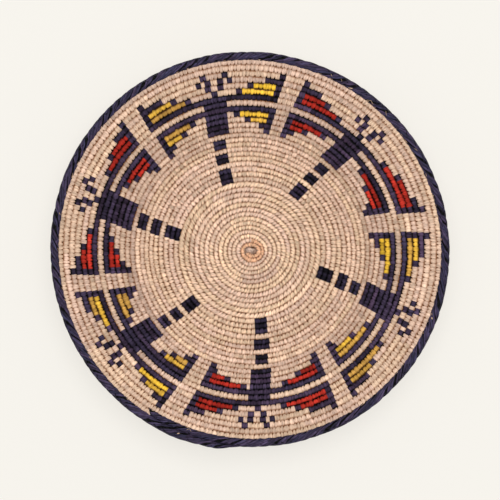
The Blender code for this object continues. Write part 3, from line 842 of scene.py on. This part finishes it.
# Painted shade on a strip: how dark it lies along its own edges, where it dives under another and where it
# turns.
STRIP_EDGE_SHADE = 0.75
UNDER_SHADE = 1.3
TURN_SHADE = 0.5
# More crossings than a strand has.
CROSSINGS = 400
# A step up from the strand that shows which way is out of it.
NORMAL_STEP = 0.1 * MM
START_CUT_TURNS = 0.003
START_CUT_SHARE = 0.7
# The slant of the start is gone after this part of a turn.
SLANT_ENDS_TURNS = 0.02
# The tail thins over these degrees before its end, which lies a little beyond the solids'.
TAIL_DEGREES = (0, 3, 5, 7, 14, 20)
TAIL_SHARES = (0.1, 0.33, 0.6, 0.76, 0.85, 1)
TAIL_REACH_TURNS = 0.008


def rim_line():
    """Stations along the plait, their lengths, and how large it is at each."""
    start = COIL_END_TURN + turns_of(PIECE_GAP, COIL_END_TURN)
    end = COIL_END_TURN + PLAIT_TURNS + TAIL_REACH_TURNS
    turns = np.linspace(start, end, PLAIT_STATIONS)
    radius = radius_at((turns[1:] + turns[:-1]) / 2)
    length = np.concatenate(([0], np.cumsum(np.diff(turns) * TAU * radius)))
    stations = (0, START_CUT_TURNS, START_GROWS_TURNS)
    begun = np.interp(turns - COIL_END_TURN, stations, (START_CUT_SHARE, START_SHARE, 1))
    return turns, length, np.minimum(begun, np.interp((end - turns) * 360, TAIL_DEGREES, TAIL_SHARES))


def start_slant(turns):
    """How far the outer edge of the plait lags behind its middle, at its slanted start."""
    return END_SLANT_TURNS / 2 * np.interp(turns - COIL_END_TURN, (0, SLANT_ENDS_TURNS), (1, 0))


def build_rim_wrap(turns, length, share, centre):
    """The wrapped bundle inside the plait."""
    around = TAU * np.arange(WRAP_SIDES) / WRAP_SIDES
    out = centre[:, None] + share[:, None] * WRAP_HALF_WIDTH * -np.cos(around)
    slanted = turns[:, None] - start_slant(turns)[:, None] * np.cos(around)
    rings = place(slanted, 0, out, share[:, None] * WRAP_HALF_HEIGHT * np.sin(around))
    points, quads, ends = tube(rings, 0)
    made = new_object("rim_wrap", points, [quads, np.array(ends)])
    across = np.abs(np.cos(around)) * WRAP_HALF_WIDTH / MM
    # Painted shade, near black.
    leaf = np.stack(np.broadcast_arrays(length[:, None] / MM, across[None, :], WRAP_SHADE), -1)
    set_attribute(made, "leaf", "POINT", leaf.reshape(-1, 3))
    set_attribute(made, "strip", "FACE", np.zeros((len(made.data.polygons), 3)))
    finish(made, LEAVES["dark"], ("rim_core",))


def build_strands(turns, length, share, centre):
    """The plaited strands, which run to and fro over the front of the bundle."""
    points, quads, caps, leaf, strip = [], [], [], [], []
    waists = rng.uniform(0, 2, (STRANDS, CROSSINGS))
    around = TAU * np.arange(STRAND_SIDES) / STRAND_SIDES
    for k, beside in itertools.product(range(STRANDS), STRIPS_BESIDE):
        phase = TAU * (length / STRAND_PERIOD + k / STRANDS)
        for shift, wave_length, lag in STRAND_SHIFTS:
            phase = phase + shift * np.sin(length / wave_length + lag * k)
        swing = np.arcsin(ZIGZAG_SHARPNESS * np.sin(phase)) / math.asin(ZIGZAG_SHARPNESS)
        angle = math.radians(90) - STRAND_SWING * swing
        level = STRAND_BULGE * np.sin(phase) ** TURN_POWER - STRAND_RISE * np.cos(phase)
        level = level + STRIP_WAVE * beside * np.sin(length / STRIP_WAVE_LENGTH + k)

        def at(lift):
            out = centre + share * (PLAIT_HALF_WIDTH + lift) * np.cos(angle)
            slanted = turns + start_slant(turns) * np.cos(angle)
            return place(slanted, 0, out, share * (PLAIT_HALF_HEIGHT + lift) * np.sin(angle))

        line = at(level)
        normal = unit(at(level + NORMAL_STEP) - line)
        side = unit(np.cross(unit(np.gradient(line, axis=0)), normal))
        wave = WIDTH_WAVE * np.sin(length / WIDTH_WAVE_LENGTH + 2 * k)
        half_width = share * STRAND_HALF_WIDTH * (1 + wave)
        waist = waists[k][np.round(phase / math.pi).astype(int) % CROSSINGS]
        waist = STRAND_WAIST * waist * np.exp(-((swing / WAIST_REACH) ** 2))
        half_width *= 1 - waist - TURN_NARROWS * np.abs(swing) ** TURN_POWER
        line = line + side * (beside * half_width)[:, None]
        wide = STRIP_SHARE * half_width[:, None] * np.cos(around)
        thick = share[:, None] * STRAND_HALF_THICKNESS * np.sin(around)
        rings = line[:, None] + side[:, None] * wide[..., None] + normal[:, None] * thick[..., None]
        strip_points, strip_quads, ends = tube(rings, len(points) * len(turns) * STRAND_SIDES)
        points.append(strip_points)
        quads.append(strip_quads)
        caps += ends
        across = STRAND_HALF_WIDTH * (beside + 0.5 * np.cos(around)) / MM
        # Painted shade: along the strip's edges, under the strand that crosses it and at its turns.
        shade = STRIP_EDGE_SHADE * np.abs(np.cos(around)) ** 4
        shade = shade + UNDER_SHADE * np.clip(np.cos(phase), 0, 1)[:, None]
        shade = shade + TURN_SHADE * np.clip(np.abs(swing) * 4 - 3, 0, 1)[:, None]
        strip_leaf = np.broadcast_arrays(across[None, :], length[:, None] / MM, shade)
        leaf.append(np.stack(strip_leaf, -1).reshape(-1, 3))
        # Each crossing shows another strip.
        piece = np.floor(phase[:-1] / math.pi).astype(int)
        piece -= piece.min()
        light = rng.normal(0, 1, CROSSINGS)
        hue = rng.uniform(-1, 1, CROSSINGS)
        tones = np.stack((light, hue, rng.uniform(0, FIBRE_PATTERN, CROSSINGS)), -1)
        strip.append(np.repeat(tones[piece % CROSSINGS], STRAND_SIDES, axis=0))
    strip.append(np.zeros((len(caps), 3)))
    made = new_object("plait_strands", np.concatenate(points), [np.concatenate(quads), np.array(caps)])
    set_attribute(made, "leaf", "POINT", np.concatenate(leaf))
    set_attribute(made, "strip", "FACE", np.concatenate(strip))
    finish(made, LEAVES["rim"], ("rim_plait",))


def build_plait():
    turns, length, share = rim_line()
    # The inner edge of the plait keeps its line, so that a smaller share draws in the outer edge.
    centre = plait_centre(turns) + (share - plait_share(turns)) * PLAIT_WIDTH / 2 + PLAIT_SHIFT
    build_rim_wrap(turns, length, share, centre)
    build_strands(turns, length, share, centre)


build_plait()

# Undyed slivers that stand off the plait: degrees along it from its start, where across it they start and
# end (-1 is its inner edge), length and radius in millimetres. Places are read from the photograph.
SLIVERS = (
    (187.8, 0.7, 0.1, 2.6, 0.15),
    (184.6, 0.9, 0.1, 3.0, 0.14),
    (181.0, -0.75, 0.0, 5.0, 0.36),
    (174.4, -0.6, 0.3, 4.5, 0.13),
    (173.2, 0.3, -0.5, 5.0, 0.13),
    (168.0, 0.8, -0.1, 4.0, 0.15),
    (159.8, -0.5, -0.9, 3.5, 0.15),
    (153.9, 0.3, 0.8, 5.0, 0.15),
    (145.9, -0.3, -0.7, 4.0, 0.15),
    (103.4, -0.75, -0.2, 2.6, 0.2),
    (102.2, -0.1, 0.3, 2.0, 0.45),
    (13.8, 0.2, -0.5, 2.6, 0.15),
    (13.1, -0.6, 0.3, 2.6, 0.15),
    (370.8, -0.1, 0.4, 2.4, 0.33),
    (336.0, -0.8, -0.3, 4.0, 0.28),
    (291.4, -0.6, 0.1, 3.0, 0.18),
    (253.2, -0.9, -0.7, 1.6, 0.35),
)
SLIVER_SIDES = 5
SLIVER_STATIONS = 9
# A sliver lies this much over the strands, and is this much wider than it is thick.
SLIVER_LIFT = 0.35 * MM
SLIVER_FLATNESS = 1.5
# The least height share of a sliver at the plait's edge, and how blunt its ends are, where 1 is pointed.
SLIVER_EDGE = 0.05
SLIVER_BLUNTNESS = 1.05
# It is in the light, and its leaf is darker than the wraps'.
SLIVER_SHADE = 0.1
SLIVER_TONE = (-5.0, 1.0, 0.0)


def build_slivers():
    points, quads, caps = [], [], []
    around = TAU * np.arange(SLIVER_SIDES) / SLIVER_SIDES
    along = np.linspace(-0.5, 0.5, SLIVER_STATIONS)
    for degrees, first, last, length, radius in SLIVERS:
        middle = COIL_END_TURN + math.radians(degrees) / TURN_ANGLE
        turns = middle - along * turns_of(length * MM, middle)
        part = first + (last - first) * (along + 0.5)
        out = plait_centre(turns) + PLAIT_SHIFT + part * PLAIT_HALF_WIDTH
        top = PLAIT_HALF_HEIGHT + STRAND_RISE + STRAND_HALF_THICKNESS
        up = top * np.sqrt(np.maximum(1 - part**2, SLIVER_EDGE)) + SLIVER_LIFT
        thick = radius * MM * np.sqrt(SLIVER_BLUNTNESS - 4 * along**2)
        line = place(turns, 0, out, up)
        tangent = unit(np.gradient(line, axis=0))
        side = unit(np.cross(tangent, (0, 0, 1)))
        lift = np.cross(side, tangent)
        wide = side[:, None] * np.cos(around)[:, None] * SLIVER_FLATNESS
        high = lift[:, None] * np.sin(around)[:, None]
        rings = line[:, None] + thick[:, None, None] * (wide + high)
        sliver_points, sliver_quads, ends = tube(rings, sum(len(p) for p in points))
        points.append(sliver_points)
        quads.append(sliver_quads)
        caps += ends
    points = np.concatenate(points)
    made = new_object("rim_slivers", points, [np.concatenate(quads), np.array(caps)])
    leaf = np.column_stack((points[:, :2] / MM, np.full(len(points), SLIVER_SHADE)))
    set_attribute(made, "leaf", "POINT", leaf)
    set_attribute(made, "strip", "FACE", np.tile(SLIVER_TONE, (len(made.data.polygons), 1)))
    finish(made, LEAVES["natural"], ())


build_slivers()

# The eye: the dark hole inside the first round and the grey butt of the fibres that shows in it. Places and
# sizes are read from the photograph.
HOLE_TOP = 2.4 * MM
HOLE_BOTTOM = 0.3 * MM
# The plug that fills the hole reaches this much under the first round.
HOLE_REACH = 0.6 * MM
HOLE_SIDES = 48
# Painted shade of the plug at its rim and in its middle.
HOLE_SHADE = 0.35
HOLE_MIDDLE_SHADE = 0.3
# Painted shade on the plug, darkest at its top right and lower right: how much, at which bearing and how
# widely, in degrees.
HOLE_DARK_SPOTS = ((1.1, 35, 32), (0.6, 125, 25))
BUTT_CENTRE = (0.1 * MM, 0.25 * MM)
BUTT_HALF = (4.6 * MM, 2.5 * MM)
BUTT_TOP = 4.3 * MM
BUTT_SUNK = 0.6 * MM
BUTT_ROWS = 7
BUTT_SIDES = 28
# It is a flattened dome at 1, and steeper at its sides below 1.
BUTT_STEEPNESS = 0.6
# Painted shade on the butt, growing from this far over the hole's top down, over this height.
BUTT_DARK_FROM = 1.2 * MM
BUTT_DARK_OVER = 1.8 * MM


def fan(middle, ring, after):
    """Triangles from one point to the points of a ring, each with the one after it."""
    return np.stack((np.full(len(ring), middle), ring, after), -1)


def build_plug():
    """Fills the inside of the first round."""
    turns = np.linspace(FIRST_TURN, FIRST_TURN + 1, HOLE_SIDES + 1)
    edge = place(turns, 0, HOLE_REACH, 0)[:, :2]
    middle = np.array((COIL_CENTRE_X, COIL_CENTRE_Y))
    count = len(turns)
    rows = [np.column_stack((edge, np.full(count, z))) for z in (HOLE_TOP, HOLE_BOTTOM)]
    points = np.concatenate(rows + [[(*middle, HOLE_TOP), (*middle, HOLE_BOTTOM)]])
    n = np.arange(count)
    after = (n + 1) % count
    # The coil runs counter-clockwise, so these face up, down and out.
    faces = [
        np.concatenate((fan(2 * count, n, after), fan(2 * count + 1, count + after, count + n))),
        np.stack((n, count + n, count + after, after), -1),
    ]
    made = new_object("eye_plug", points, faces, smooth=False)
    bearing = np.degrees(np.arctan2(points[:, 0], points[:, 1]))
    # Painted shade in the hole.
    shade = HOLE_SHADE
    for darker, at, spread in HOLE_DARK_SPOTS:
        shade = shade + darker * np.exp(-(((bearing - at) / spread) ** 2))
    shade[-2:] = HOLE_MIDDLE_SHADE
    set_attribute(made, "leaf", "POINT", np.column_stack((points[:, :2] / MM, shade)))
    set_attribute(made, "strip", "FACE", np.zeros((len(made.data.polygons), 3)))
    finish(made, LEAVES["fibre"], ("centre_knot",))


def build_butt():
    """The uneven end of the bundle, which stands in the hole."""
    tilt = np.linspace(0, math.pi / 2, BUTT_ROWS)[:-1, None]
    around = TAU * np.arange(BUTT_SIDES) / BUTT_SIDES
    uneven = 1 + 0.08 * np.sin(3 * around + 1) + 0.05 * np.sin(5 * around)
    bottom = HOLE_TOP - BUTT_SUNK
    x = BUTT_CENTRE[0] + BUTT_HALF[0] * np.cos(tilt) ** BUTT_STEEPNESS * np.cos(around) * uneven
    y = BUTT_CENTRE[1] + BUTT_HALF[1] * np.cos(tilt) ** BUTT_STEEPNESS * np.sin(around) * uneven
    z = bottom + (BUTT_TOP - HOLE_TOP + BUTT_SUNK) * np.sin(tilt) + 0 * around
    shell, quads, ends = tube(np.stack((x, y, z), -1), 0)
    points = np.concatenate((shell, [(*BUTT_CENTRE, BUTT_TOP), (*BUTT_CENTRE, bottom)]))
    n = np.arange(BUTT_SIDES)
    after = (n + 1) % BUTT_SIDES
    last = ends[1][0]
    faces = [
        np.concatenate((fan(len(points) - 2, last + n, last + after), fan(len(points) - 1, after, n))),
        quads,
    ]
    made = new_object("fibre_butt", points, faces)
    # Painted shade, deeper down in the hole.
    shade = np.clip((HOLE_TOP + BUTT_DARK_FROM - points[:, 2]) / BUTT_DARK_OVER, 0, 1)
    fibres = np.column_stack((points[:, 0] + points[:, 1], points[:, 0] - points[:, 1])) / MM
    set_attribute(made, "leaf", "POINT", np.column_stack((fibres, shade)))
    set_attribute(made, "strip", "FACE", np.zeros((len(made.data.polygons), 3)))
    finish(made, LEAVES["fibre"], ())


build_plug()
build_butt()

# Floor, light and camera

PAPER = "F7F4ED"
# How much of the paper's own colour shows on the floor, and how bright it is past the floor's edge.
PAPER_SHARE = 0.78
PAPER_PAST_EDGE = 0.96
SKY_LIGHT = 0.55
FLOOR_HALF = 6.0
# The floor lies this much under the basket, so that the two don't touch.
FLOOR_DROP = 0.2 * MM
# The camera looks straight down from far off, so that there is hardly any perspective. Its distance is from
# a height between the base and the rim, and its shift puts the basket where it lies in the photograph.
CAMERA_DISTANCE = 6.0
CAMERA_OVER = 40 * MM
CAMERA_SHIFT = 0.3 * MM
FIELD = 0.5
SENSOR_MM = 36


def seen(tree):
    """1 where the background is seen, directly, in gloss or through glass, and 0 where it gives light."""
    path = add(tree, "LightPath", {})
    either = {0: path.outputs["Is Camera Ray"], 1: path.outputs["Is Glossy Ray"]}
    either = add(tree, "Math", either, operation="MAXIMUM")
    either = {0: either.outputs[0], 1: path.outputs["Is Transmission Ray"]}
    either = add(tree, "Math", either, operation="MAXIMUM")
    return either.outputs[0]


def stage():
    mesh = bpy.data.meshes.new("floor")
    half = FLOOR_HALF
    corners = [(-half, -half, 0), (half, -half, 0), (half, half, 0), (-half, half, 0)]
    mesh.from_pydata(corners, [], [(0, 1, 2, 3)])
    floor = bpy.data.objects.new("floor", mesh)
    bpy.context.scene.collection.objects.link(floor)
    floor.location.z = -FLOOR_DROP
    material = bpy.data.materials.new("floor_paper")
    material.use_nodes = True
    tree = material.node_tree
    # Matt paper: off-white, without any gloss
    shader = tree.nodes["Principled BSDF"]
    shader.inputs["Base Color"].default_value = colour(PAPER)
    shader.inputs["Roughness"].default_value = 0.95
    shader.inputs["Specular IOR Level"].default_value = 0
    # The camera sees most of the paper's own colour, and the rest is lit, so that it keeps a soft shadow.
    paper = add(tree, "Emission", {"Color": colour(PAPER), "Strength": 1.0})
    share = add(tree, "Math", {0: seen(tree), 1: PAPER_SHARE}, operation="MULTIPLY")
    both = add(tree, "MixShader", {0: share.outputs[0], 1: shader.outputs[0], 2: paper.outputs[0]})
    tree.links.new(both.outputs[0], tree.nodes["Material Output"].inputs["Surface"])
    mesh.materials.append(material)


def lamp(name, spot, target, size, energy):
    """A round lamp that faces the target."""
    data = bpy.data.lights.new(name, "AREA")
    data.shape = "DISK"
    data.size = size
    data.energy = energy
    made = bpy.data.objects.new(name, data)
    bpy.context.scene.collection.objects.link(made)
    made.location = spot
    direction = np.array(target, float) - np.array(spot, float)
    made.rotation_mode = "QUATERNION"
    made.rotation_quaternion = Vector(direction).to_track_quat("-Z", "Y")


def studio():
    world = bpy.data.worlds.new("studio")
    bpy.context.scene.world = world
    world.use_nodes = True
    tree = world.node_tree
    back = tree.nodes["Background"]
    back.inputs["Color"].default_value = (1, 1, 1, 1)
    back.inputs["Strength"].default_value = SKY_LIGHT
    paper = add(tree, "Background", {"Color": colour(PAPER), "Strength": PAPER_PAST_EDGE})
    both = add(tree, "MixShader", {0: seen(tree), 1: back.outputs[0], 2: paper.outputs[0]})
    tree.links.new(both.outputs[0], tree.nodes["World Output"].inputs["Surface"])
    lamp("key", spot=(0.1, 0.6, 3.0), target=(0, 0, 0), size=2.0, energy=50)


def camera():
    data = bpy.data.cameras.new("camera")
    data.sensor_width = SENSOR_MM
    data.lens = SENSOR_MM * CAMERA_DISTANCE / FIELD
    data.clip_start = 0.1
    data.clip_end = 50
    made = bpy.data.objects.new("camera", data)
    bpy.context.scene.collection.objects.link(made)
    made.location = (0, CAMERA_SHIFT, CAMERA_DISTANCE + CAMERA_OVER)
    bpy.context.scene.camera = made


stage()
studio()
camera()
bpy.context.scene.view_settings.view_transform = "Standard"
